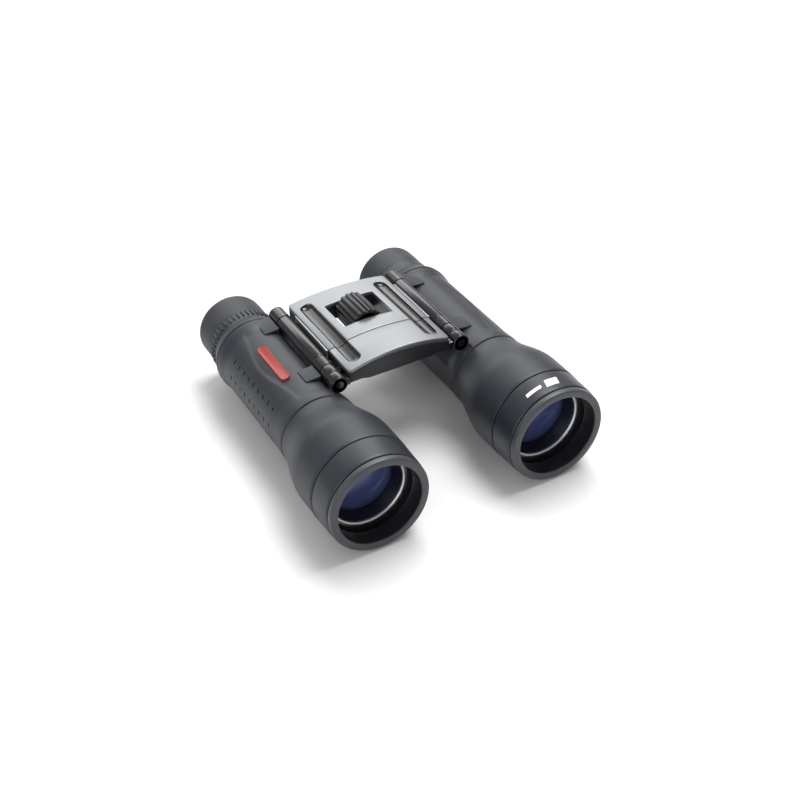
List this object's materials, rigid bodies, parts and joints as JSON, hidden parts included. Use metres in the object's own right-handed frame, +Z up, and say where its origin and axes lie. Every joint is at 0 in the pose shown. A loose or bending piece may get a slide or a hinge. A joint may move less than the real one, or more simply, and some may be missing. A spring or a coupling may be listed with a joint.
{
  "type": "folding binoculars",
  "caption": "Compact folding roof-prism binoculars: rubber-armoured barrels with flared front bells, hinged on an arched bridge with a ribbed centre focus wheel.",
  "frame": {"origin": "below the middle of the whole object, on the plane that the two bells touch", "axes": "+Y from the front rims to the eyepieces, along both barrels; +Z up, towards the bridge; +X towards the user's left barrel"},
  "size_m": [0.1176, 0.1354, 0.0461],
  "materials": {
    "barrel_metal": "satin black anodised tube, knuckles glossy",
    "armour_rubber": "matt slate rubber with a fine grain",
    "sleeve_rubber": "smooth satin slate rubber",
    "rim_plastic": "satin moulded plastic",
    "cell_black": "matt black",
    "objective_glass": "polished, blue-violet coating",
    "lens_ring": "turned bright",
    "brass": "turned",
    "holder_plastic": "matt moulded",
    "prism_glass": "polished",
    "eye_glass": "polished, coated",
    "grip_rubber": "matt slate rubber",
    "eyecup_rubber": "soft matt slate rubber",
    "casting_black": "gloss black",
    "cover_metal": "fine satin, light grey",
    "steel": "plated",
    "wheel_plastic": "satin ribbed",
    "badge_red": "satin red"
  },
  "bodies": {
    "rear_bridge": {"rear_frame": "casting_black", "rear_cover": "cover_metal", "rear_cover_screws": "steel"},
    "focus_wheel": {"focus_wheel": "wheel_plastic", "focus_screw": "steel", "thrust_washers": "steel"},
    "front_bridge": {"front_frame": "casting_black", "front_cover": "cover_metal", "front_cover_screws": "steel", "focus_nut": "brass", "right_hinge_rod": "steel", "left_hinge_rod": "steel", "front_hinge_caps": "casting_black"},
    "right_barrel": {"right_barrel_body": "barrel_metal", "right_mid_armour": "armour_rubber", "right_bell_armour": "armour_rubber", "right_front_sleeve": "sleeve_rubber", "right_objective_rim": "rim_plastic", "right_prism_holder": "holder_plastic", "right_roof_prism": "prism_glass", "right_half_penta_prism": "prism_glass", "right_hinge_cap": "casting_black", "right_badge": "badge_red"},
    "left_barrel": {"left_barrel_body": "barrel_metal", "left_mid_armour": "armour_rubber", "left_bell_armour": "armour_rubber", "left_front_sleeve": "sleeve_rubber", "left_objective_rim": "rim_plastic", "left_prism_holder": "holder_plastic", "left_roof_prism": "prism_glass", "left_half_penta_prism": "prism_glass", "left_hinge_cap": "casting_black", "left_ocular_cell": "cell_black", "left_field_stop": "cell_black", "left_field_lens": "eye_glass", "left_eye_lens": "eye_glass", "left_ocular_ring": "cell_black", "left_eyepiece_collar": "grip_rubber", "left_eyecup": "eyecup_rubber"},
    "right_objective": {"right_objective_cell": "cell_black", "right_objective_lens": "objective_glass", "right_objective_ring": "lens_ring", "right_focus_fork": "brass"},
    "left_objective": {"left_objective_cell": "cell_black", "left_objective_lens": "objective_glass", "left_objective_ring": "lens_ring", "left_focus_fork": "brass"},
    "right_diopter": {"right_diopter_ring": "grip_rubber", "right_eyecup": "eyecup_rubber"},
    "right_ocular": {"right_ocular_cell": "cell_black", "right_field_stop": "cell_black", "right_field_lens": "eye_glass", "right_eye_lens": "eye_glass", "right_ocular_ring": "cell_black"}
  },
  "joints": [
    {"name": "focus_turn", "type": "hinge", "parent": "rear_bridge", "child": "focus_wheel", "pos_m": [0, 0.02, 0.0391], "axis": [0, 1, 0], "range_deg": [0, 360]},
    {"name": "focus_slide", "type": "slide", "parent": "rear_bridge", "child": "front_bridge", "axis": [0, -1, 0], "range_m": [0, 0.0023]},
    {"name": "right_fold", "type": "hinge", "parent": "rear_bridge", "child": "right_barrel", "pos_m": [-0.02681, 0.0123, 0.0369], "axis": [0, -1, 0], "range_deg": [0, 44]},
    {"name": "left_fold", "type": "hinge", "parent": "rear_bridge", "child": "left_barrel", "pos_m": [0.02681, 0.0123, 0.0369], "axis": [0, 1, 0], "range_deg": [0, 44]},
    {"name": "right_objective_slide", "type": "slide", "parent": "right_barrel", "child": "right_objective", "axis": [0, -1, 0], "range_m": [0, 0.0023]},
    {"name": "left_objective_slide", "type": "slide", "parent": "left_barrel", "child": "left_objective", "axis": [0, -1, 0], "range_m": [0, 0.0023]},
    {"name": "diopter_turn", "type": "hinge", "parent": "right_barrel", "child": "right_diopter", "pos_m": [-0.038, 0.0463, 0.0208], "axis": [0, 1, 0], "range_deg": [-50, 50]},
    {"name": "diopter_slide", "type": "slide", "parent": "right_barrel", "child": "right_ocular", "axis": [0, 1, 0], "range_m": [-0.001, 0.001]}
  ],
  "couplings": [
    {"joint": "focus_turn", "follows": "focus_slide", "rad_per_m": 2731.8},
    {"joint": "right_objective_slide", "follows": "focus_slide", "ratio": 1},
    {"joint": "left_objective_slide", "follows": "focus_slide", "ratio": 1},
    {"joint": "diopter_turn", "follows": "diopter_slide", "rad_per_m": 872.66}
  ]
}
